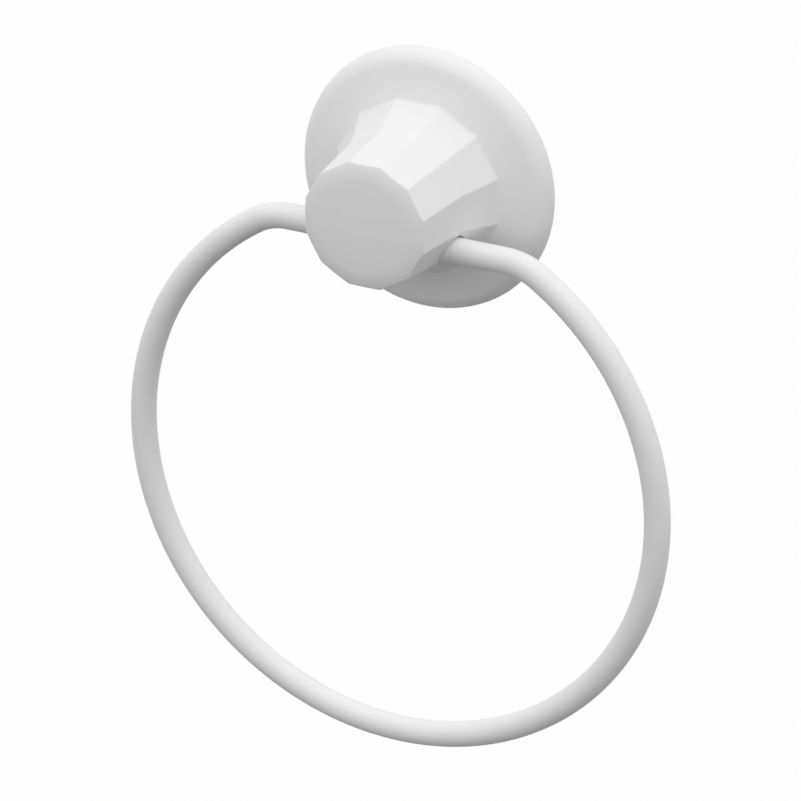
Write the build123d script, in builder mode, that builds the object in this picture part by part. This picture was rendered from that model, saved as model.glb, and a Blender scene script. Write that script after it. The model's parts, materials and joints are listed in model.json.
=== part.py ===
"""Wall-mounted towel ring.

A white cast post with a round flange and a tapering, twelve-sided stem carries a bent wire ring.
The ring is an open loop: its two straight ends sit in blind sockets in the flanks of the stem,
and it swings in them.  Behind the post, a round bracket is screwed to the wall, and a set screw
in the underside of the stem presses on a flat of the bracket's stub.

Units are millimetres.  The origin is on the wall, on the axis of the post.  +Z is up, the wall is
the plane Y = 0, and the post stands out from it towards -Y.
"""

import math
import os

from build123d import *

# Flange: round, with a rolled rim and a shallow cone that rises towards the stem
flange_radius = 37.0
rim_roll_radius = 5.5
cone_slope = 13.0

# Stem: twelve flat sides, almost parallel in front of the crease and flaring behind it
side_count = 12
post_length = 39.6
crease_height = 18.7
front_radius = 17.8
crease_radius = 19.7
root_radius = 24.5
corner_rounding = 1.2
root_fillet = 1.2

# Front face of the stem: a very shallow dome that falls away more towards its edge
dome_radius = 170.0
dome_reach = 12.8
crown_radius = 16.0
front_edge_rounding = 0.5

# Inside of the post: recess for the bracket's disc, room for screw heads, bore for the stub
rim_width = 8.7
shoulder_width = 1.9
root_wall = 3.9
cone_wall = 2.2
front_wall = 5.2

# Ring: round wire, one large arc closed by a short straight run through the post
wire_radius = 3.55
ring_radius = 77.6
ring_drop = 68.2
bend_radius = 18.0
wire_height = 19.6
wire_drop = 10.35
wire_end_chamfer = 0.6

# Sockets for the ring's ends, set a little high, so that the wire lies on their lower side
socket_wall = 1.0
socket_clearance = 0.2
socket_lift = 0.15
socket_end_gap = 0.5

# Wall bracket: a disc with a stub on it that the post is pushed over
disc_thickness = 2.5
disc_clearance = 0.3
disc_chamfer = 0.4
stub_radius = 7.5
stub_length = 16.5
stub_clearance = 0.25
stub_chamfer = 0.8
stub_fillet = 1.0
slot_spacing = 34.0
slot_length = 9.0
slot_width = 4.6

# Set screw with a hexagon socket, and the flat of the stub that it presses on
notch_depth = 1.4
notch_width = 6.4
screw_radius = 2.5
screw_height = 11.6
screw_inset = 3.8
screw_clearance = 0.05
screw_end_chamfer = 0.4
screw_point_chamfer = 0.8
hex_across_flats = 2.5
hex_depth = 2.8

slope = math.radians(cone_slope)
roll_end_radius = flange_radius - rim_roll_radius * (1 - math.sin(slope))
roll_end_height = rim_roll_radius * math.cos(slope)


def cone_height(radius):
    """Height of the flange's cone above the wall at a radius."""
    return roll_end_height + (roll_end_radius - radius) * math.tan(slope)


def cone_inside(radius):
    """Height of the hollow under the cone, one wall thickness below its surface."""
    return cone_height(radius) - cone_wall / math.cos(slope)


def skirt_radius(height):
    """Corner radius of the stem behind its crease, at a height above the wall."""
    flare = (root_radius - crease_radius) / (crease_height - cone_height(root_radius))
    return crease_radius + flare * (crease_height - height)


os.makedirs("parts", exist_ok=True)

# Post: the flange is turned about the axis, and the stem runs through three twelve-sided sections
skirt_base = roll_end_height / 2
crown_reach = max(front_radius, crease_radius) + front_edge_rounding
dome_span = math.asin(dome_reach / dome_radius)
crown_span = math.asin(dome_reach / dome_radius + (crown_reach - dome_reach) / crown_radius) - dome_span
recess_radius = flange_radius - rim_width
room_radius = recess_radius - shoulder_width
room_mouth = root_radius - root_wall
room_roof = cone_inside(room_mouth)
bore_radius = stub_radius + stub_clearance
bore_end = post_length - front_wall
socket_bottom = bore_radius + socket_wall

with BuildPart() as post:
    with BuildSketch(Plane.XY):
        with BuildLine():
            back = Line((0, 0), (flange_radius, 0))
            roll = JernArc(back @ 1, (0, -1), rim_roll_radius, cone_slope - 90)
            Polyline(roll @ 1, (0, -cone_height(0)), (0, 0))
        make_face()
    revolve(axis=Axis.Y)

    stem_sections = (
        (skirt_base, skirt_radius(skirt_base)),
        (crease_height, crease_radius),
        (post_length, front_radius),
    )
    for height, radius in stem_sections:
        with BuildSketch(Plane.XZ.offset(height)):
            section = RegularPolygon(radius, side_count, rotation=180 / side_count)
            fillet(section.vertices(), corner_rounding)
    loft(ruled=True)
    fillet(post.edges(Select.NEW), root_fillet)

    # The crowned front face
    with BuildSketch(Plane.XY):
        with BuildLine():
            dome = JernArc((0, -post_length), (1, 0), dome_radius, math.degrees(dome_span))
            fall = JernArc(dome @ 1, dome % 1, crown_radius, math.degrees(crown_span))
            Polyline(fall @ 1, (crown_reach, -post_length - 1), (0, -post_length - 1), dome @ 0)
        make_face()
    revolve(axis=Axis.Y, mode=Mode.SUBTRACT)
    fillet(post.edges(Select.NEW), front_edge_rounding)

    # The hollow behind
    with BuildSketch(Plane.XY):
        with BuildLine():
            Polyline(
                (0, 0),
                (recess_radius, 0),
                (recess_radius, -disc_thickness),
                (room_radius, -disc_thickness),
                (room_radius, -cone_inside(room_radius)),
                (room_mouth, -room_roof),
                (bore_radius, -room_roof),
                (bore_radius, -bore_end),
                (0, -bore_end),
                close=True,
            )
        make_face()
    revolve(axis=Axis.Y, mode=Mode.SUBTRACT)

    # Two blind sockets for the ring's ends
    for side in (1, -1):
        start = (side * socket_bottom, -wire_height, socket_lift - wire_drop)
        with BuildSketch(Plane(start, x_dir=(0, 1, 0), z_dir=(side, 0, 0))):
            Circle(wire_radius + socket_clearance)
        extrude(amount=root_radius, mode=Mode.SUBTRACT)

    # The set screw's hole, from the bore down through the underside
    with BuildSketch(Plane((0, -screw_height, 0), x_dir=(1, 0, 0), z_dir=(0, 0, -1))):
        Circle(screw_radius + screw_clearance)
    extrude(amount=root_radius, mode=Mode.SUBTRACT)

post.part.label = "post_body"
export_step(post.part, "parts/post_body.step")

# Towel ring: a wire swept along straight run, bend, large arc, bend and straight run
wire_end = socket_bottom + socket_end_gap
bend_start = math.sqrt((ring_radius - bend_radius) ** 2 - (ring_drop - bend_radius) ** 2)
bend_angle = math.degrees(math.asin(bend_start / (ring_radius - bend_radius)))

with BuildPart() as ring:
    with BuildLine(Plane.XZ.offset(wire_height)) as wire:
        run = Line((wire_end, -wire_drop), (bend_start, -wire_drop))
        bend = JernArc(run @ 1, run % 1, bend_radius, -bend_angle)
        loop = JernArc(bend @ 1, bend % 1, ring_radius, 2 * bend_angle - 360)
        last_bend = JernArc(loop @ 1, loop % 1, bend_radius, -bend_angle)
        Line(last_bend @ 1, (-wire_end, -wire_drop))
    with BuildSketch(Plane((wire_end, -wire_height, -wire_drop), x_dir=(0, 1, 0), z_dir=(1, 0, 0))):
        Circle(wire_radius)
    sweep(path=wire.line)
    chamfer(ring.faces().filter_by(Axis.X).edges(), wire_end_chamfer)

ring.part.label = "towel_ring"
export_step(ring.part, "parts/towel_ring.step")

# Wall bracket: disc and stub are turned in one, with two slots and a flat milled in
disc_radius = recess_radius - disc_clearance
flat_drop = stub_radius - notch_depth
press_plane = Plane((0, -screw_height, -flat_drop), x_dir=(1, 0, 0), z_dir=(0, 0, -1))

with BuildPart() as bracket:
    with BuildSketch(Plane.XY) as profile:
        with BuildLine():
            Polyline(
                (0, 0),
                (disc_radius, 0),
                (disc_radius, -disc_thickness),
                (stub_radius, -disc_thickness),
                (stub_radius, -stub_length),
                (0, -stub_length),
                close=True,
            )
        make_face()
        chamfer(profile.vertices().sort_by_distance((disc_radius, -disc_thickness))[0], disc_chamfer)
        chamfer(profile.vertices().sort_by_distance((stub_radius, -stub_length))[0], stub_chamfer)
        fillet(profile.vertices().sort_by_distance((stub_radius, -disc_thickness))[0], stub_fillet)
    revolve(axis=Axis.Y)
    with BuildSketch(Plane.XZ):
        with GridLocations(slot_spacing, 0, 2, 1):
            SlotOverall(slot_length, slot_width)
    extrude(amount=disc_thickness, mode=Mode.SUBTRACT)
    with BuildSketch(press_plane):
        Rectangle(2 * stub_radius, notch_width)
    extrude(amount=notch_depth, mode=Mode.SUBTRACT)

bracket.part.label = "wall_bracket"
export_step(bracket.part, "parts/wall_bracket.step")

# Set screw: its point is on the stub's flat, and its socket opens downwards
side_drop = skirt_radius(screw_height) * math.cos(math.pi / side_count)
screw_length = side_drop - screw_inset - flat_drop

with BuildPart() as screw:
    with BuildSketch(press_plane):
        Circle(screw_radius)
    extrude(amount=screw_length)
    chamfer(screw.faces().sort_by(Axis.Z)[-1].edges(), screw_point_chamfer)
    chamfer(screw.faces().sort_by(Axis.Z)[0].edges(), screw_end_chamfer)
    with BuildSketch(press_plane.offset(screw_length)):
        RegularPolygon(hex_across_flats / 2, 6, major_radius=False)
    extrude(amount=-hex_depth, mode=Mode.SUBTRACT)

screw.part.label = "set_screw"
export_step(screw.part, "parts/set_screw.step")
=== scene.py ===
"""Wall-mounted towel ring: a white powder-coated post and ring, a zinc-plated bracket and set screw.

Every piece is a surface worked out on a grid of points, in metres, in the frame of the loaded
model: +Z is up, the wall is the plane Y = 0, and the post stands out from it towards -Y.
"""

import json
import math

import bpy
import numpy as np
from bpy.props import FloatProperty, FloatVectorProperty, IntProperty, PointerProperty
from mathutils import Matrix, Vector


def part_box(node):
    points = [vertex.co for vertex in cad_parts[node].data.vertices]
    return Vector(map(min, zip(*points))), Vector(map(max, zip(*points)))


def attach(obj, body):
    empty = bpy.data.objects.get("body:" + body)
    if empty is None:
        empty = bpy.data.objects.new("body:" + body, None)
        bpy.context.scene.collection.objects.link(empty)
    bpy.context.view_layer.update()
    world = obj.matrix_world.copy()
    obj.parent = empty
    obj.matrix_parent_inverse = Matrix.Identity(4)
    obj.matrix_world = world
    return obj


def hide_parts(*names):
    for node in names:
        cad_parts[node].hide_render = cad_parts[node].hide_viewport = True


bl_info = {
    "name": "Towel Ring",
    "version": (1, 0, 0),
    "blender": (4, 5, 0),
    "location": "3D View > Sidebar > Towel Ring",
    "description": "Builds a wall-mounted towel ring, its bracket and its set screw",
    "category": "Add Mesh",
}

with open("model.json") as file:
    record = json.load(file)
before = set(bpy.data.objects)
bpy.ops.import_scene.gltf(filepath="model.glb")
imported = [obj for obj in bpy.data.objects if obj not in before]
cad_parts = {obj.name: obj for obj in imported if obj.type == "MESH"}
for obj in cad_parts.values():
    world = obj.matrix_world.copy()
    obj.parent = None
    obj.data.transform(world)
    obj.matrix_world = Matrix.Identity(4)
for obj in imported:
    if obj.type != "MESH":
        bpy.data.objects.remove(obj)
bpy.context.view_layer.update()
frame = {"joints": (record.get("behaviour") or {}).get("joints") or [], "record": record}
post_low, post_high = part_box("post_body")
ring_low, ring_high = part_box("towel_ring")
bracket_low, bracket_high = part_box("wall_bracket")
screw_low, screw_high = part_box("set_screw")
hinge = frame["joints"][0]["pos_m"]
slots = next(m["dims"] for m in frame["record"]["mounts"] if m["name"] == "screw_slots")
full_turn = 2 * math.pi
# Radius of the rows of points next to a pole, in metres
pole_gap = 0.0002


def length(name, text, default):
    """A property for a length in metres."""
    return FloatProperty(name=name, description=text, default=default, min=0, precision=5, unit="LENGTH")


def angle(name, text, degrees):
    """A property for an angle, given in degrees."""
    return FloatProperty(name=name, description=text, default=math.radians(degrees), subtype="ANGLE")


def factor(name, text, default):
    """A property for a plain share between 0 and 1."""
    return FloatProperty(name=name, description=text, default=default, min=0, max=1, subtype="FACTOR")


def colour(name, text, default):
    """A property for a colour."""
    return FloatVectorProperty(
        name=name, description=text, default=default, min=0, max=1, subtype="COLOR"
    )


def vector(name, text, default):
    """A property for three numbers along X, Y and Z."""
    return FloatVectorProperty(name=name, description=text, default=default, precision=5)


class PostSizes(bpy.types.PropertyGroup):
    """Sizes of the post and of its hollow."""

    flange_radius: length("Flange radius", "Outer radius of the round flange", post_high.x)
    rim_roll: length("Rim roll", "Radius of the flange's rolled rim", 0.0055)
    cone_slope: angle("Cone slope", "Slope of the flange between its rim and the stem", 13.0)
    post_length: length("Post length", "Distance of the front face from the wall", -post_low.y)
    sides: IntProperty(name="Sides", description="Number of flat sides of the stem", default=12, min=5)
    root_radius: length("Root radius", "Corner radius of the stem where it meets the flange", 0.0245)
    crease_radius: length("Crease radius", "Corner radius of the stem at its crease", 0.0197)
    front_radius: length("Front radius", "Corner radius of the stem at its front", 0.0178)
    crease_height: length("Crease height", "Distance of the crease from the wall", 0.0187)
    corner_rounding: length("Corner rounding", "Rounding of the edges between the flat sides", 0.0012)
    root_fillet: length("Root fillet", "Fillet between the stem and the flange", 0.0012)
    crease_softness: length("Crease softness", "Rounding along the crease", 0.0012)
    edge_rounding: length("Edge rounding", "Rounding of the front face's edge", 0.0005)
    dome_radius: length("Dome radius", "Radius of the dome in the middle of the front face", 0.170)
    dome_reach: length("Dome reach", "How far the dome reaches from the axis", 0.0128)
    crown_radius: length("Crown radius", "Radius by which the front face falls towards its edge", 0.016)
    cone_wall: length("Flange wall", "Thickness of the flange over its hollow", 0.0022)
    recess_radius: length("Recess radius", "Radius of the recess for the bracket's disc", 0.0283)
    recess_depth: length("Recess depth", "Depth of the recess for the bracket's disc", 0.0025)
    room_radius: length("Room radius", "Radius of the room for the screw heads", 0.0264)
    room_mouth: length("Room mouth", "Radius at which the room's roof becomes flat", 0.0206)
    bore_radius: length("Bore radius", "Radius of the bore for the stub", 0.00775)
    bore_end: length("Bore end", "Distance of the bore's end from the wall", 0.0344)
    inner_rounding: length("Inner rounding", "Rounding of the edges of the hollow", 0.0003)
    socket_radius: length("Socket radius", "Radius of the two sockets for the wire", 0.00385)
    socket_bottom: length("Socket bottom", "Distance of a socket's bottom from the post's axis", 0.00875)
    socket_lift: length("Socket lift", "How far the sockets sit above the wire's axis", 0.00025)
    lip: length("Lip", "Rounding round the mouths of the sockets and of the screw hole", 0.00018)


class RingSizes(bpy.types.PropertyGroup):
    """Sizes of the ring of bent wire."""

    wire_radius: length("Wire radius", "Radius of the wire", (ring_high.y - ring_low.y) / 2)
    wire_height: length("Wire height", "Distance of the wire's axis from the wall", -hinge[1])
    wire_drop: length("Wire drop", "Distance of the straight ends below the post's axis", -hinge[2])
    wire_end: length("Wire end", "Distance of the wire's ends from the post's axis", 0.00925)
    ring_radius: length("Ring radius", "Radius of the large arc", 0.0776)
    ring_drop: length("Ring drop", "Distance from the wire's ends down to the large arc's centre", 0.0682)
    bend_radius: length("Bend radius", "Radius of the two bends", 0.018)
    end_chamfer: length("End chamfer", "Chamfer of the wire's ends", 0.0006)


class BracketSizes(bpy.types.PropertyGroup):
    """Sizes of the wall bracket."""

    disc_radius: length("Disc radius", "Radius of the disc", bracket_high.x)
    disc_thickness: length("Disc thickness", "Thickness of the disc", 0.0025)
    disc_chamfer: length("Disc chamfer", "Chamfer of the disc's front edge", 0.0004)
    stub_radius: length("Stub radius", "Radius of the stub", 0.0075)
    stub_length: length("Stub length", "Distance of the stub's end from the wall", -bracket_low.y)
    stub_chamfer: length("Stub chamfer", "Chamfer of the stub's end", 0.0008)
    stub_fillet: length("Stub fillet", "Fillet between the stub and the disc", 0.001)
    edge_break: length("Edge break", "Small chamfer of the other edges", 0.00015)
    slot_spacing: length("Slot spacing", "From slot to slot", slots["spacing_x_mm"] / 1000)
    slot_length: length("Slot length", "Overall length of a slot", slots["slot_length_mm"] / 1000)
    slot_width: length("Slot width", "Width of a slot", slots["hole_r_mm"] / 500)
    notch_width: length("Notch width", "Width of the flat under the stub", 0.0064)


class ScrewSizes(bpy.types.PropertyGroup):
    """Sizes of the set screw."""

    radius: length("Radius", "Outer radius of the thread", screw_high.x)
    core_radius: length("Core radius", "Radius at the bottom of the thread", 0.00205)
    pitch: length("Pitch", "Pitch of the thread", 0.0008)
    clearance: length("Clearance", "Gap between the thread and its hole", 0.00005)
    height: length("Height", "Distance of the axis from the wall", -(screw_low.y + screw_high.y) / 2)
    tip_drop: length("Tip drop", "Distance of the tip below the post's axis", -screw_high.z)
    end_drop: length("End drop", "Distance of the other end below the post's axis", -screw_low.z)
    tip_chamfer: length("Tip chamfer", "Chamfer of the tip", 0.0008)
    end_chamfer: length("End chamfer", "Chamfer of the other end", 0.0004)
    hex_width: length("Hexagon width", "Width of the hexagon socket across its flats", 0.0025)
    hex_depth: length("Hexagon depth", "Depth of the hexagon socket", 0.0028)


class Finishes(bpy.types.PropertyGroup):
    """Colours and surfaces."""

    paint: colour("Paint", "Colour of the powder coat", (0.84, 0.84, 0.84))
    paint_roughness: factor("Paint roughness", "Roughness of the powder coat", 0.5)
    paint_shine: factor("Paint shine", "How strongly the powder coat mirrors", 0.25)
    peel_size: length("Peel size", "Width of the shallow waves in the powder coat", 0.0014)
    peel_height: length("Peel height", "Height of the shallow waves in the powder coat", 0.000016)
    zinc: colour("Zinc", "Colour of the zinc plating", (0.66, 0.67, 0.69))
    zinc_roughness: factor("Zinc roughness", "Roughness of the zinc plating", 0.34)
    mark_height: length("Mark height", "Height of the turning marks in the zinc", 0.000006)
    mottle_size: length("Mottle size", "Width of the mottles in the zinc", 0.0035)
    grain_size: length("Grain size", "Width of the grains in the zinc", 0.0003)


class StageSizes(bpy.types.PropertyGroup):
    """Floor, light and camera."""

    floor_drop: length("Floor drop", "Distance of the floor below the post's axis", 0.42)
    floor_size: length("Floor size", "Length of the square floor's sides", 3.2)
    floor_tone: factor("Floor tone", "How much light the floor throws back", 0.12)
    floor_glow: factor("Floor glow", "Brightness that the floor has of its own where it is seen", 0.86)
    light_level: factor("Light level", "Light from the height of the horizon", 0.765)
    light_lean: vector("Light lean", "How the light grows along X, Y and Z", (-0.185, 0.22, 0.16))
    light_bend: vector("Light bend", "The same, for the part that grows with height", (0.76, -0.87, 0.42))
    azimuth: angle("Azimuth", "Direction of the camera round the object", 27.051)
    elevation: angle("Elevation", "Height of the camera above the horizon", 24.764)
    roll: angle("Roll", "Turn of the camera about its own axis", 0.260)
    distance: length("Distance", "Distance of the camera from what it looks at", 1.504355)
    lens: FloatProperty(name="Lens", description="Focal length in millimetres", default=248.890)
    target: vector("Target", "What the camera looks at", (-0.008461, 0, -0.067329))


# Meshes


def closed_mesh(name, rows):
    """A closed mesh from rows of points, each of which runs once round.

    Neighbouring rows are joined by quads, and the first and the last row are each closed by a fan
    to their mean point.  The faces are turned outwards by the sign of the enclosed volume.
    """
    count, around = rows.shape[:2]
    here = np.arange(count * around).reshape(count, around)
    beside = np.roll(here, -1, axis=1)
    quads = np.stack([here[:-1], beside[:-1], beside[1:], here[1:]], axis=-1).reshape(-1, 4)
    first = np.stack([np.full(around, count * around), beside[0], here[0]], axis=-1)
    last = np.stack([np.full(around, count * around + 1), here[-1], beside[-1]], axis=-1)
    points = np.vstack([rows.reshape(-1, 3), rows[0].mean(axis=0), rows[-1].mean(axis=0)])
    triangles = np.vstack([quads[:, [0, 1, 2]], quads[:, [0, 2, 3]], first, last])
    a, b, c = points[triangles].transpose(1, 0, 2)
    if np.einsum("ij,ij->", a, np.cross(b, c)) < 0:
        quads, first, last = quads[:, ::-1], first[:, ::-1], last[:, ::-1]
    mesh = bpy.data.meshes.new(name)
    mesh.from_pydata(points.tolist(), [], quads.tolist() + first.tolist() + last.tolist())
    mesh.validate()
    return mesh


def add_object(name, mesh):
    """Links a mesh to the scene as an object that sits at the origin."""
    piece = bpy.data.objects.new(name, mesh)
    bpy.context.scene.collection.objects.link(piece)
    return piece


def cut(piece, cutters):
    """Takes the cutters out of a piece with an exact Boolean each, and removes them."""
    for rows in cutters:
        cutter = add_object("cutter", closed_mesh("cutter", rows))
        step = piece.modifiers.new("cut", "BOOLEAN")
        step.operation = "DIFFERENCE"
        step.solver = "EXACT"
        step.object = cutter
        graph = bpy.context.evaluated_depsgraph_get()
        done = bpy.data.meshes.new_from_object(piece.evaluated_get(graph))
        piece.modifiers.clear()
        piece.data = done
        used = cutter.data
        bpy.data.objects.remove(cutter)
        bpy.data.meshes.remove(used)


def finish_piece(piece, material, body, node, sharp):
    """Shades a piece smoothly up to an angle in degrees, gives it its material, ties it to its body and
    hides the CAD node that it replaces.
    """
    piece.data.shade_smooth()
    piece.data.set_sharp_from_angle(angle=math.radians(sharp))
    piece.data.materials.clear()
    piece.data.materials.append(material)
    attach(piece, body)
    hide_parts(node)


def steps_between(a, b, count):
    """Points at even steps on the straight line from a to b, without the two ends."""
    share = np.linspace(0, 1, count + 2)[1:-1]
    return a + share.reshape(-1, *[1] * np.ndim(a)) * (b - a)


def round_corner(a, b, c, radius, count):
    """The arc that rounds the corner b of the path from a over b to c.

    The arc's centre is on the line that halves the angle at b, at radius over the sine of half of
    it, and the arc runs between the feet of its perpendiculars on both runs.
    """
    to_a = (a - b) / np.linalg.norm(a - b, axis=-1, keepdims=True)
    to_c = (c - b) / np.linalg.norm(c - b, axis=-1, keepdims=True)
    half = np.arccos(np.clip((to_a * to_c).sum(axis=-1, keepdims=True), -1, 1)) / 2
    middle = to_a + to_c
    centre = b + middle / np.linalg.norm(middle, axis=-1, keepdims=True) * radius / np.sin(half)
    start = b + to_a * radius / np.tan(half) - centre
    end = b + to_c * radius / np.tan(half) - centre
    sweep = np.pi - 2 * half
    share = np.linspace(0, 1, count).reshape(-1, *[1] * np.ndim(b))
    return centre + (np.sin((1 - share) * sweep) * start + np.sin(share * sweep) * end) / np.sin(sweep)


def rounded_path(corners, radii, counts):
    """A path of straight runs with rounded corners, as an array of (radius, height) points.

    Each corner becomes an arc of its own radius, and each run is divided into its own number of steps.
    """
    corners = np.array(corners)
    arc_points = 5
    pieces = [corners[:1]]
    for i in range(1, len(corners) - 1):
        arc = round_corner(corners[i - 1], corners[i], corners[i + 1], radii[i - 1], arc_points)
        pieces += [steps_between(pieces[-1][-1], arc[0], counts[i - 1]), arc]
    pieces += [steps_between(pieces[-1][-1], corners[-1], counts[-1]), corners[-1:]]
    return np.concatenate(pieces)


def turned(profile, turns):
    """Points (x, y, z) of a path of (radius, height) about the post's axis.

    A point lies at the radius from the Y axis in the direction of its turn, and its Y is minus its
    height above the wall.
    """
    radius, height = profile[..., 0], profile[..., 1]
    if radius.ndim == 1:
        radius, height = radius[:, None], height[:, None]
    radius, height = np.broadcast_arrays(radius + 0 * turns, height + 0 * turns)
    return np.stack([radius * np.cos(turns), -height, radius * np.sin(turns)], axis=-1)


# The post's own surface


def polygon_radius(corner, turn, sides, rounding):
    """Distance from the axis to a regular polygon with rounded corners, in a direction.

    Along a side it is the distance of the side over the cosine of the angle from its middle.  Near
    a corner it is the far crossing with the circle that rounds the corner.
    """
    step = full_turn / sides
    off = np.abs((turn + step / 2) % step - step / 2)
    side = corner * math.cos(step / 2)
    inner = side - rounding
    centre = inner / math.cos(step / 2)
    past = step / 2 - off
    arc = centre * np.cos(past) + np.sqrt(np.maximum(rounding**2 - (centre * np.sin(past)) ** 2, 0))
    return np.where(np.tan(off) * side <= inner * math.tan(step / 2), side / np.cos(off), arc)


def cone_height(post, radius):
    """Height of the flange's cone: it falls with the cone's slope from the stem to the rolled rim."""
    end_radius = post.flange_radius - post.rim_roll * (1 - math.sin(post.cone_slope))
    end_height = post.rim_roll * math.cos(post.cone_slope)
    return end_height + (end_radius - radius) * math.tan(post.cone_slope)


def stem_radius(post, height, turn):
    """Distance from the axis to the stem, whose edges are straight on both sides of the crease."""
    rise = post.crease_height - cone_height(post, post.root_radius)
    flare = (post.root_radius - post.crease_radius) / rise
    taper = (post.crease_radius - post.front_radius) / (post.post_length - post.crease_height)
    past = height - post.crease_height
    corner = post.crease_radius - np.where(past < 0, flare, taper) * past
    return polygon_radius(corner, turn, post.sides, post.corner_rounding)


def crown_height(post, radius):
    """Height of the front face: an arc of the dome's radius, then a tighter one that starts as steep."""
    lean = post.dome_reach / post.dome_radius
    near = np.minimum(radius, post.dome_reach) / post.dome_radius
    past = lean + np.maximum(radius - post.dome_reach, 0) / post.crown_radius
    dome = post.dome_radius * (1 - np.sqrt(1 - near**2))
    fall = post.crown_radius * (math.sqrt(1 - lean**2) - np.sqrt(1 - past**2))
    return post.post_length - dome - fall


def stem_turns(post):
    """Directions for the columns of the post's grid.

    They are shares of the way from corner to corner of the stem, close together at the corners.
    """
    across = np.array([0.25, 0.6, 1, 2.6, 5, 8, 11.5, 15, 18.5, 22, 25, 27.4, 29, 29.4, 29.75, 30]) / 30
    corners = np.arange(post.sides)[:, None] + 0.5
    return ((corners + across) * full_turn / post.sides).ravel()


def post_rows(post):
    """Rows of points of the post, from the end of its bore through the hollow and round the outside.

    In each half-plane through the axis the outside is the rolled rim, the cone, the fillet at the
    root, the flared and the tapered run of the stem with a soft crease between them, the rounded
    edge and the crown of the front face.
    """
    roll_rows, cone_rows, fillet_rows, flare_rows, crease_rows = 16, 12, 8, 10, 4
    taper_rows, edge_rows, crown_rows, rounds = 14, 7, 8, 20
    dome_shares = np.array([0.86, 0.7, 0.53, 0.36, 0.2, 0.06])[:, None]
    turns = stem_turns(post)
    slope = post.cone_slope
    roof = cone_height(post, post.room_mouth) - post.cone_wall / math.cos(slope)
    eaves = cone_height(post, post.room_radius) - post.cone_wall / math.cos(slope)
    rim_foot, roll_start = 0.0006, 0.0009
    inside = rounded_path(
        [
            (pole_gap, post.bore_end),
            (post.bore_radius, post.bore_end),
            (post.bore_radius, roof),
            (post.room_mouth, roof),
            (post.room_radius, eaves),
            (post.room_radius, post.recess_depth),
            (post.recess_radius, post.recess_depth),
            (post.recess_radius, 0),
            (post.flange_radius, 0),
            (post.flange_radius, rim_foot),
        ],
        [post.inner_rounding] * 8,
        [2, 14, 4, 2, 1, 1, 1, 4, 0],
    )
    lean = np.linspace(math.asin(roll_start / post.rim_roll), math.pi / 2 - slope, roll_rows)
    roll_centre = post.flange_radius - post.rim_roll
    roll = np.stack([roll_centre + post.rim_roll * np.cos(lean), post.rim_roll * np.sin(lean)], axis=-1)
    round_part = np.concatenate([inside, roll])
    round_part = np.broadcast_to(round_part[:, None], (len(round_part), len(turns), 2))

    def on_stem(height):
        return np.stack([stem_radius(post, height, turns), height + 0 * turns], axis=-1)

    # The corners at the root and at the front edge, closed in on step by step
    root = on_stem(cone_height(post, post.root_radius))
    edge = on_stem(post.post_length)
    for _ in range(rounds):
        root = on_stem(cone_height(post, root[:, 0]))
        edge = on_stem(crown_height(post, edge[:, 0]))
    crease = on_stem(post.crease_height)
    inward = edge[:, 0] - post.edge_rounding
    ahead = np.stack([inward, crown_height(post, inward)], axis=-1)
    root_arc = round_corner(round_part[-1], root, crease, post.root_fillet, fillet_rows)
    crease_arc = round_corner(root, crease, edge, post.crease_softness, crease_rows)
    edge_arc = round_corner(crease, edge, ahead, post.edge_rounding, edge_rows)

    share = np.linspace(0, 1, crown_rows + 1)[1:, None]
    reach = edge_arc[-1][:, 0] + share * (post.dome_reach - edge_arc[-1][:, 0])
    slip = edge_arc[-1][:, 1] - crown_height(post, edge_arc[-1][:, 0])
    crown = np.stack([reach, crown_height(post, reach) + (1 - share) * slip], axis=-1)
    reach = post.dome_reach * dome_shares + 0 * turns
    dome = np.stack([reach, crown_height(post, reach)], axis=-1)
    outside = [
        round_part,
        steps_between(round_part[-1], root_arc[0], cone_rows),
        root_arc,
        steps_between(root_arc[-1], crease_arc[0], flare_rows),
        crease_arc,
        steps_between(crease_arc[-1], edge_arc[0], taper_rows),
        edge_arc,
        crown,
        dome,
    ]
    return turned(np.concatenate(outside), turns)


def flank(post, facing, side, height):
    """How far out the stem's surface is along one direction, at a sideways place and a height.

    The distance is narrowed down by halving until the point is as far from the axis as the stem is.
    """
    halvings = 40
    low, high = np.zeros_like(side + height), np.full_like(side + height, 2 * post.root_radius)
    for _ in range(halvings):
        out = (low + high) / 2
        outside = np.hypot(out, side) > stem_radius(post, height, facing + np.arctan2(side, out))
        low, high = np.where(outside, low, out), np.where(outside, out, high)
    return (low + high) / 2


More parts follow.
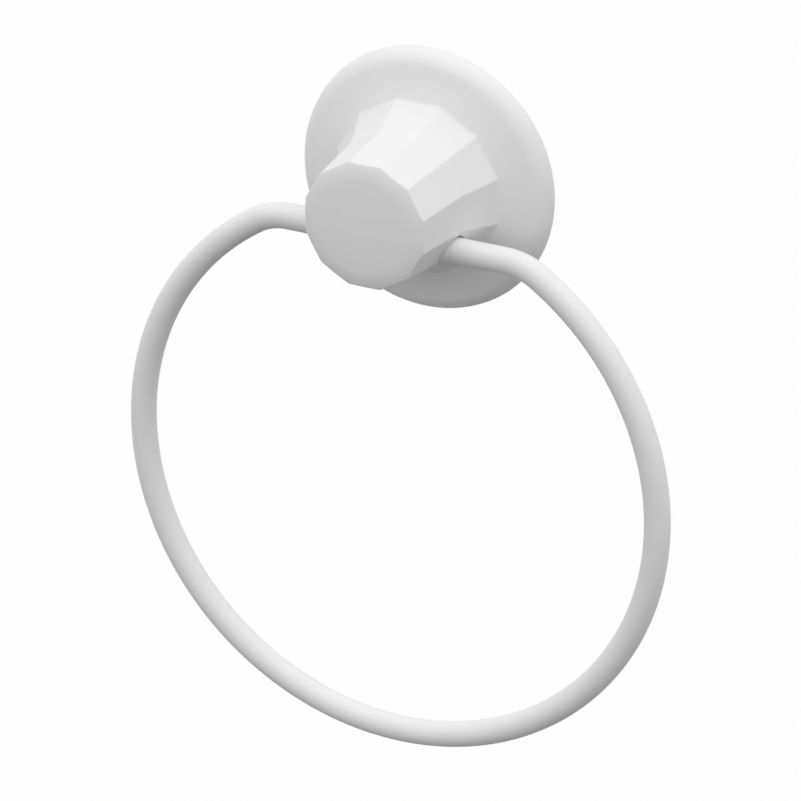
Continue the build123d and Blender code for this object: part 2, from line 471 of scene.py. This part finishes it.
def opening_rows(post, facing, side, height, radius, bottom, walls=None):
    """Rows of points of the tool that cuts a round opening into the stem, with a rounded lip.

    The wall runs out along the direction that the opening faces, and where walls are given its
    radii come from them.  At the stem's surface an arc turns the wall outwards, and from there the
    tool leaves the surface.
    """
    around, lip_rows, fine_rows, core = 56, 9, 120, 0.3
    beyond = 0.001
    turns = np.arange(around) * full_turn / around
    far = radius + beyond

    def surface(r):
        return flank(post, facing, side + r * np.sin(turns), height + r * np.cos(turns))

    def place(r, out):
        return np.stack([r + 0 * turns, out + 0 * turns], axis=-1)

    mouth = place(radius, surface(radius))
    arc = round_corner(place(radius, 0), mouth, place(far, surface(far)), post.lip, lip_rows)[:-2]
    away = arc[-1] - arc[-2]
    away = arc[-1] + away / np.linalg.norm(away, axis=-1, keepdims=True) * beyond
    top = 2 * post.root_radius
    wall = steps_between(place(radius, bottom), arc[0], fine_rows if walls else 1)
    if walls:
        wall[..., 0] = walls(wall[..., 1], turns)
    rows = np.concatenate(
        [
            [place(radius * core, bottom), place(radius, bottom)],
            wall,
            arc,
            [away, np.stack([away[:, 0], top + 0 * turns], axis=-1), place(radius * core, top)],
        ]
    )
    across = side + rows[..., 0] * np.sin(turns)
    up = height + rows[..., 0] * np.cos(turns)
    out = rows[..., 1]
    return np.stack(
        [
            out * math.cos(facing) - across * math.sin(facing),
            -up,
            out * math.sin(facing) + across * math.cos(facing),
        ],
        axis=-1,
    )


def thread_radius(screw, drop, turn):
    """Radius of the thread: a V-shaped wave along the axis that moves one pitch each turn.

    The wave is clipped, so that its crests and its roots are flat.
    """
    flat = 0.125
    place = (drop / screw.pitch + turn / full_turn) % 1
    wave = np.clip(np.abs(2 * place - 1) * (1 + 2 * flat) - flat, 0, 1)
    return screw.core_radius + (screw.radius - screw.core_radius) * wave


def screw_hole_radius(post, screw):
    """Radius of the threaded hole: the screw's own surface and a clearance, plain near the mouth."""
    side = post.crease_radius * math.cos(math.pi / post.sides)
    thread_end, run_out = side - 0.0004, 0.0006

    def radius(drop, turn):
        thread = thread_radius(screw, drop, turn - math.pi / 2)
        plain = np.clip((drop - thread_end) / run_out, 0, 1)
        return thread + (screw.radius - thread) * plain + screw.clearance

    return radius


# The ring


def ring_rows(ring):
    """Rows of points of the wire: circles carried along a run, a bend, the large arc and back.

    The wire's axis turns clockwise through a full turn.  At each angle it lies on a circle about the
    centre of a bend or of the large arc, and its straight ends run on from there.
    """
    around, bend_rows, arc_rows, run_rows = 44, 15, 239, 13
    core = 0.2
    middle = -ring.wire_drop - ring.ring_drop
    far = ring.ring_radius - ring.bend_radius
    start = math.sqrt(far**2 - (ring.ring_drop - ring.bend_radius) ** 2)
    bend = math.asin(start / far)
    first = np.linspace(0, bend, bend_rows)
    arc = np.linspace(bend, full_turn - bend, arc_rows + 2)[1:-1]
    heading = np.concatenate([first, arc, full_turn - first[::-1]])
    in_bend = np.minimum(heading, full_turn - heading) <= bend + 1e-9
    radius = np.where(in_bend, ring.bend_radius, ring.ring_radius)
    side = np.where(heading < math.pi, start, -start)
    centre_x = np.where(in_bend, side, 0)
    centre_z = np.where(in_bend, -ring.wire_drop - ring.bend_radius, middle)
    x, z = centre_x + radius * np.sin(heading), centre_z + radius * np.cos(heading)
    run = np.linspace(ring.wire_end + ring.end_chamfer, start, run_rows, endpoint=False)
    ends = np.array([ring.wire_end, ring.wire_end])
    run_x = np.concatenate([ends, run])
    x = np.concatenate([run_x, x, -run_x[::-1]])
    flat = np.full(len(run_x), -ring.wire_drop)
    z = np.concatenate([flat, z, flat])
    heading = np.concatenate([0 * flat, heading, 0 * flat])
    thick = np.full(len(x), ring.wire_radius)
    thick[[0, -1]] = ring.wire_radius * core
    thick[[1, -2]] = ring.wire_radius - ring.end_chamfer
    turn = np.arange(around) * full_turn / around
    out = thick[:, None] * np.cos(turn)
    return np.stack(
        [
            x[:, None] + out * np.sin(heading)[:, None],
            -ring.wire_height + thick[:, None] * np.sin(turn),
            z[:, None] + out * np.cos(heading)[:, None],
        ],
        axis=-1,
    )


# The bracket and the set screw


def bracket_rows(bracket):
    """Rows of points of the bracket without its slots: a turned disc with a stub on it."""
    around = 144
    tiny = bracket.edge_break / 4
    profile = rounded_path(
        [
            (pole_gap, 0),
            (bracket.disc_radius - bracket.edge_break, 0),
            (bracket.disc_radius, bracket.edge_break),
            (bracket.disc_radius, bracket.disc_thickness - bracket.disc_chamfer),
            (bracket.disc_radius - bracket.disc_chamfer, bracket.disc_thickness),
            (bracket.stub_radius, bracket.disc_thickness),
            (bracket.stub_radius, bracket.stub_length - bracket.stub_chamfer),
            (bracket.stub_radius - bracket.stub_chamfer, bracket.stub_length),
            (pole_gap, bracket.stub_length),
        ],
        [tiny, tiny, tiny, tiny, bracket.stub_fillet, tiny, tiny],
        [6, 1, 2, 1, 6, 8, 1, 2],
    )
    return turned(profile, np.arange(around) * full_turn / around)


def slot_rows(size, corner, levels):
    """Points of a tool with a rounded rectangular outline: across, up and along the tool.

    The outline is a circle of the corner's radius, whose quarters are moved apart to the corners of
    the rectangle.  levels holds how much wider the outline is, and where along the tool that is.
    """
    around = 64
    turn = (np.arange(around) + 0.5) * full_turn / around
    wider, place = np.array(levels).T[:, :, None]
    grow = corner + wider
    across = np.sign(np.cos(turn)) * (size[0] / 2 - corner) + grow * np.cos(turn)
    up = np.sign(np.sin(turn)) * (size[1] / 2 - corner) + grow * np.sin(turn)
    return across, up, place + 0 * across


def bracket_cutters(bracket, screw):
    """Tools for the two slots, with broken edges, and for the flat under the stub."""
    beyond, bevel, end = 0.001, bracket.edge_break, bracket.disc_thickness
    wide = beyond + bevel
    levels = [(wide, -beyond), (0, bevel), (0, end - bevel), (wide, end + beyond)]
    size = (bracket.slot_length, bracket.slot_width)
    half = bracket.slot_spacing / 2
    x, z, y = slot_rows(size, bracket.slot_width / 2, levels)
    tools = [np.stack([middle + x, -y, z], axis=-1) for middle in (-half, half)]
    below, corner = 2 * bracket.stub_radius, 0.0002
    x, y, z = slot_rows((below, bracket.notch_width), corner, [(0, screw.tip_drop), (0, below)])
    return [*tools, np.stack([x, y - screw.height, -z], axis=-1)]


def screw_rows(screw):
    """Rows of points of the set screw: tip, threaded shank, end face and hexagon socket.

    The shank's radius is the smaller of the thread's wave and the chamfers, and the socket's outline
    is a regular hexagon in polar form, whose edge is broken and whose bottom is a shallow cone.
    """
    around, shank_rows, tip_share = 48, 150, 0.97
    hex_corner, hex_bevel, cone_width, cone_depth = 0.00008, 0.0001, 0.45 * screw.hex_width, 0.0005
    turn = np.arange(around) * full_turn / around
    tip, end = screw.tip_drop, screw.end_drop
    flat_tip, flat_end = screw.radius - screw.tip_chamfer, screw.radius - screw.end_chamfer
    drop = np.linspace(tip, end, shank_rows)[:, None]
    chamfers = np.minimum(flat_tip + drop - tip, flat_end + end - drop)
    shank = np.minimum(thread_radius(screw, drop, turn), chamfers)
    hexagon = polygon_radius(screw.hex_width / math.sqrt(3), turn, 6, hex_corner)
    deep = end - screw.hex_depth
    tip_rows = [pole_gap + 0 * turn, tip_share * shank[0]]
    socket_rows = [hexagon + hex_bevel, hexagon, hexagon, cone_width + 0 * turn, pole_gap / 2 + 0 * turn]
    radius = np.concatenate([tip_rows, shank, socket_rows])
    depth = [tip, tip, *drop[:, 0], end, end - hex_bevel, deep, deep, deep - cone_depth]
    depth = np.array(depth)[:, None] + 0 * turn
    return np.stack([radius * np.cos(turn), radius * np.sin(turn) - screw.height, -depth], axis=-1)


# Materials


def new_material(name):
    """A material with nodes, and its main shader."""
    material = bpy.data.materials.new(name)
    material.use_nodes = True
    return material, material.node_tree, material.node_tree.nodes["Principled BSDF"]


def add_node(tree, kind, values=None, **settings):
    """Adds a node, sets its options and its inputs, and links the inputs that are given as sockets."""
    node = tree.nodes.new(kind)
    for key, value in settings.items():
        setattr(node, key, value)
    for key, value in (values or {}).items():
        if isinstance(value, bpy.types.NodeSocket):
            tree.links.new(value, node.inputs[key])
        else:
            node.inputs[key].default_value = value
    return node


def noise(tree, place, size, detail):
    """Noise whose grains are about one size across, from 0 to 1."""
    values = {"Vector": place, "Scale": 1 / size, "Detail": detail, "Roughness": 0.5}
    return add_node(tree, "ShaderNodeTexNoise", values).outputs["Fac"]


def spread(tree, value, low, high):
    """Stretches a value that runs from about 0.3 to 0.7 over a new range."""
    values = {"Value": value, "From Min": 0.3, "From Max": 0.7, "To Min": low, "To Max": high}
    return add_node(tree, "ShaderNodeMapRange", values).outputs["Result"]


def bump(tree, height, distance, under=None):
    """The normal that a relief of some height gives, on top of another relief's normal."""
    values = {"Height": height, "Strength": 1.0, "Distance": distance}
    if under is not None:
        values["Normal"] = under
    return add_node(tree, "ShaderNodeBump", values).outputs["Normal"]


def tinted(tree, share, base, dark, light):
    """A base colour that runs from a darker to a lighter shade, given as factors of its channels."""
    shades = {
        "Fac": share,
        "Color1": (*[c * f for c, f in zip(base, dark)], 1),
        "Color2": (*[min(1, c * f) for c, f in zip(base, light)], 1),
    }
    return add_node(tree, "ShaderNodeMixRGB", shades).outputs["Color"]


def powder_coat(finishes):
    """Satin white powder coat: shallow waves, a finer grain, and a little cloudiness in its gloss."""
    found = bpy.data.materials.get("white_powder_coat")
    if found:
        return found
    grain_finer, grain_lower, clouds_wider = 7, 8, 9
    tone_swing, gloss_swing = 0.008, 0.03
    material, tree, shader = new_material("white_powder_coat")
    place = add_node(tree, "ShaderNodeTexCoord").outputs["Object"]
    waves = noise(tree, place, finishes.peel_size, detail=1)
    grain = noise(tree, place, finishes.peel_size / grain_finer, detail=2)
    clouds = noise(tree, place, finishes.peel_size * clouds_wider, detail=3)
    fine = bump(tree, grain, finishes.peel_height / grain_lower)
    dark, light = [1 - tone_swing] * 3, [1 + tone_swing] * 3
    tone = tinted(tree, spread(tree, clouds, 0, 1), finishes.paint, dark, light)
    low, high = finishes.paint_roughness - gloss_swing, finishes.paint_roughness + gloss_swing
    tree.links.new(tone, shader.inputs["Base Color"])
    tree.links.new(spread(tree, clouds, low, high), shader.inputs["Roughness"])
    tree.links.new(bump(tree, waves, finishes.peel_height, fine), shader.inputs["Normal"])
    shader.inputs["Specular IOR Level"].default_value = finishes.paint_shine
    return material


def zinc_plate(finishes, name, centre, turned_marks):
    """Zinc-plated steel: fine turning marks about an axis through a point, and a mottled plating."""
    dark, light = (0.88, 0.89, 0.90), (1.12, 1.11, 1.10)
    mark_share, shade_low, shade_high = 0.3, -0.2, 0.7
    glossier, rougher, grain_lower = 0.06, 0.08, 4
    material, tree, shader = new_material(name)
    place = add_node(tree, "ShaderNodeTexCoord").outputs["Object"]
    moved = add_node(tree, "ShaderNodeMapping", {"Vector": place, "Location": centre}).outputs["Vector"]
    values = {"Vector": moved, "Scale": 420.0, "Distortion": 0.6, "Detail": 2.0, "Detail Scale": 3.0}
    options = {"wave_type": "RINGS", "rings_direction": turned_marks, "wave_profile": "SAW"}
    marks = add_node(tree, "ShaderNodeTexWave", values, **options).outputs["Fac"]
    mottle = noise(tree, place, finishes.mottle_size, detail=4)
    grain = noise(tree, place, finishes.grain_size, detail=2)
    fine = bump(tree, grain, finishes.mark_height / grain_lower)
    values = {0: marks, 1: mark_share, 2: mottle}
    shade = add_node(tree, "ShaderNodeMath", values, operation="MULTIPLY_ADD").outputs[0]
    tone = tinted(tree, spread(tree, shade, shade_low, shade_high), finishes.zinc, dark, light)
    low, high = finishes.zinc_roughness - glossier, finishes.zinc_roughness + rougher
    tree.links.new(tone, shader.inputs["Base Color"])
    tree.links.new(spread(tree, mottle, low, high), shader.inputs["Roughness"])
    tree.links.new(bump(tree, marks, finishes.mark_height, fine), shader.inputs["Normal"])
    shader.inputs["Metallic"].default_value = 1
    return material


# Stage


def seen_directly(tree):
    """1 for rays from the camera and for mirrored or refracted ones, 0 for rays that light things."""
    path = add_node(tree, "ShaderNodeLightPath").outputs
    seen = path["Is Camera Ray"]
    for kind in ("Is Glossy Ray", "Is Transmission Ray"):
        seen = add_node(tree, "ShaderNodeMath", {0: seen, 1: path[kind]}, operation="MAXIMUM").outputs[0]
    return seen


def make_sky(stage):
    """The world: white where it is seen, and a soft dome where it lights.

    The dome's light in a direction is the level, plus the direction's product with the lean, plus its
    height times its product with the bend.
    """
    world = bpy.data.worlds.new("studio")
    bpy.context.scene.world = world
    world.use_nodes = True
    tree = world.node_tree
    tree.nodes.clear()
    way = add_node(tree, "ShaderNodeTexCoord").outputs["Generated"]
    rise = add_node(tree, "ShaderNodeSeparateXYZ", {"Vector": way}).outputs["Z"]
    lean = add_node(tree, "ShaderNodeVectorMath", {0: way, 1: stage.light_lean}, operation="DOT_PRODUCT")
    bend = add_node(tree, "ShaderNodeVectorMath", {0: way, 1: stage.light_bend}, operation="DOT_PRODUCT")
    values = {0: rise, 1: bend.outputs["Value"], 2: lean.outputs["Value"]}
    grown = add_node(tree, "ShaderNodeMath", values, operation="MULTIPLY_ADD").outputs[0]
    values = {0: grown, 1: stage.light_level}
    level = add_node(tree, "ShaderNodeMath", values, operation="ADD").outputs[0]
    light = add_node(tree, "ShaderNodeBackground", {"Color": (1, 1, 1, 1), "Strength": level}).outputs[0]
    white = add_node(tree, "ShaderNodeBackground", {"Color": (1, 1, 1, 1), "Strength": 1.0}).outputs[0]
    both = add_node(tree, "ShaderNodeMixShader", {0: seen_directly(tree), 1: light, 2: white}).outputs[0]
    add_node(tree, "ShaderNodeOutputWorld", {"Surface": both})


def make_floor(stage):
    """A pale floor: it keeps shadows, looks white where it is seen, and is clear from below."""
    half, z = stage.floor_size / 2, -stage.floor_drop
    corners = [(-half, -half, z), (half, -half, z), (half, half, z), (-half, half, z)]
    mesh = bpy.data.meshes.new("floor")
    mesh.from_pydata(corners, [], [(0, 1, 2, 3)])
    floor = add_object("floor", mesh)
    material, tree, shader = new_material("pale_floor")
    tree.nodes.remove(shader)
    pale = add_node(tree, "ShaderNodeBsdfDiffuse", {"Color": (*[stage.floor_tone] * 3, 1)}).outputs[0]
    values = {"Color": (1, 1, 1, 1), "Strength": stage.floor_glow}
    glow = add_node(tree, "ShaderNodeEmission", values).outputs[0]
    dark = add_node(tree, "ShaderNodeEmission", {"Color": (0, 0, 0, 1), "Strength": 0.0}).outputs[0]
    lit = add_node(tree, "ShaderNodeMixShader", {0: seen_directly(tree), 1: dark, 2: glow}).outputs[0]
    above = add_node(tree, "ShaderNodeAddShader", {0: pale, 1: lit}).outputs[0]
    clear = add_node(tree, "ShaderNodeBsdfTransparent").outputs[0]
    below = add_node(tree, "ShaderNodeNewGeometry").outputs["Backfacing"]
    sides = add_node(tree, "ShaderNodeMixShader", {0: below, 1: above, 2: clear}).outputs[0]
    tree.links.new(sides, tree.nodes["Material Output"].inputs["Surface"])
    mesh.materials.append(material)


def make_camera(stage):
    """The camera, which looks at its target from its azimuth and elevation, turned by its roll."""
    data = bpy.data.cameras.new("camera")
    data.sensor_width = 36
    data.lens = stage.lens
    data.clip_start, data.clip_end = 0.05, 50
    camera = bpy.data.objects.new("camera", data)
    bpy.context.scene.collection.objects.link(camera)
    azimuth, elevation, roll = stage.azimuth, stage.elevation, stage.roll
    flat = math.cos(elevation)
    back = Vector((math.sin(azimuth) * flat, -math.cos(azimuth) * flat, math.sin(elevation)))
    right = Vector((math.cos(azimuth), math.sin(azimuth), 0))
    up = back.cross(right)
    x_axis = math.cos(roll) * right + math.sin(roll) * up
    y_axis = -math.sin(roll) * right + math.cos(roll) * up
    camera.matrix_world = Matrix.Translation(Vector(stage.target) + back * stage.distance) @ Matrix(
        (x_axis, y_axis, back)
    ).transposed().to_4x4()
    bpy.context.scene.camera = camera


# Operators


class TOWELRING_OT_stage(bpy.types.Operator):
    """Make the floor, the light and the camera"""

    bl_idname = "towel_ring.stage"
    bl_label = "Stage"

    def execute(self, context):
        stage = context.scene.towel_ring_stage
        make_sky(stage)
        make_floor(stage)
        make_camera(stage)
        context.scene.view_settings.view_transform = "Standard"
        return {"FINISHED"}


class TOWELRING_OT_post(bpy.types.Operator):
    """Build the post with its flange, hollow, sockets and threaded hole"""

    bl_idname = "towel_ring.post"
    bl_label = "Post"

    def execute(self, context):
        scene = context.scene
        post, ring, screw = scene.towel_ring_post, scene.towel_ring_wire, scene.towel_ring_screw
        piece = add_object("post", closed_mesh("post", post_rows(post)))
        drop = ring.wire_drop - post.socket_lift
        sockets = [
            opening_rows(post, facing, side, ring.wire_height, post.socket_radius, post.socket_bottom)
            for facing, side in ((0, -drop), (math.pi, drop))
        ]
        radius = screw.radius + screw.clearance
        walls = screw_hole_radius(post, screw)
        hole = opening_rows(post, -math.pi / 2, 0, screw.height, radius, screw.tip_drop, walls)
        cut(piece, [*sockets, hole])
        material = powder_coat(scene.towel_ring_finish)
        finish_piece(piece, material, "post", "post_body", sharp=35)
        return {"FINISHED"}


class TOWELRING_OT_ring(bpy.types.Operator):
    """Build the ring of bent wire"""

    bl_idname = "towel_ring.ring"
    bl_label = "Ring"

    def execute(self, context):
        scene = context.scene
        piece = add_object("ring", closed_mesh("ring", ring_rows(scene.towel_ring_wire)))
        material = powder_coat(scene.towel_ring_finish)
        finish_piece(piece, material, "ring", "towel_ring", sharp=35)
        return {"FINISHED"}


class TOWELRING_OT_bracket(bpy.types.Operator):
    """Build the wall bracket with its slots and its stub"""

    bl_idname = "towel_ring.bracket"
    bl_label = "Bracket"

    def execute(self, context):
        scene = context.scene
        bracket, screw = scene.towel_ring_bracket, scene.towel_ring_screw
        piece = add_object("bracket", closed_mesh("bracket", bracket_rows(bracket)))
        cut(piece, bracket_cutters(bracket, screw))
        material = zinc_plate(scene.towel_ring_finish, "zinc_turned", (0, 0, 0), "Y")
        finish_piece(piece, material, "post", "wall_bracket", sharp=25)
        return {"FINISHED"}


class TOWELRING_OT_screw(bpy.types.Operator):
    """Build the set screw with its thread and its hexagon socket"""

    bl_idname = "towel_ring.screw"
    bl_label = "Set screw"

    def execute(self, context):
        scene = context.scene
        screw = scene.towel_ring_screw
        piece = add_object("screw", closed_mesh("screw", screw_rows(screw)))
        material = zinc_plate(scene.towel_ring_finish, "zinc_screw", (0, screw.height, 0), "Z")
        finish_piece(piece, material, "post", "set_screw", sharp=28)
        return {"FINISHED"}


class TOWELRING_PT_panel(bpy.types.Panel):
    """Lists the steps and the sizes"""

    bl_idname = "TOWELRING_PT_panel"
    bl_label = "Towel Ring"
    bl_space_type = "VIEW_3D"
    bl_region_type = "UI"
    bl_category = "Towel Ring"

    def draw(self, context):
        for title, key, _, step in sections:
            box = self.layout.box()
            box.label(text=title)
            group = getattr(context.scene, key)
            for name in group.__annotations__:
                box.prop(group, name)
            if step:
                box.operator(step.bl_idname)


sections = (
    ("Stage", "towel_ring_stage", StageSizes, TOWELRING_OT_stage),
    ("Finishes", "towel_ring_finish", Finishes, None),
    ("Post", "towel_ring_post", PostSizes, TOWELRING_OT_post),
    ("Ring", "towel_ring_wire", RingSizes, TOWELRING_OT_ring),
    ("Bracket", "towel_ring_bracket", BracketSizes, TOWELRING_OT_bracket),
    ("Set screw", "towel_ring_screw", ScrewSizes, TOWELRING_OT_screw),
)
classes = (
    *(group for _, _, group, _ in sections),
    *(step for _, _, _, step in sections if step),
    TOWELRING_PT_panel,
)


def register():
    """Registers the classes and ties the groups of sizes to the scene."""
    for each in classes:
        bpy.utils.register_class(each)
    for _, key, group, _ in sections:
        setattr(bpy.types.Scene, key, PointerProperty(type=group))


def unregister():
    """Undoes what register did."""
    for _, key, _, _ in sections:
        delattr(bpy.types.Scene, key)
    for each in reversed(classes):
        bpy.utils.unregister_class(each)


def main():
    """Builds the stage and the pieces."""
    register()
    bpy.ops.towel_ring.stage()
    bpy.ops.towel_ring.post()
    bpy.ops.towel_ring.ring()
    bpy.ops.towel_ring.bracket()
    bpy.ops.towel_ring.screw()


if __name__ == "__main__":
    main()
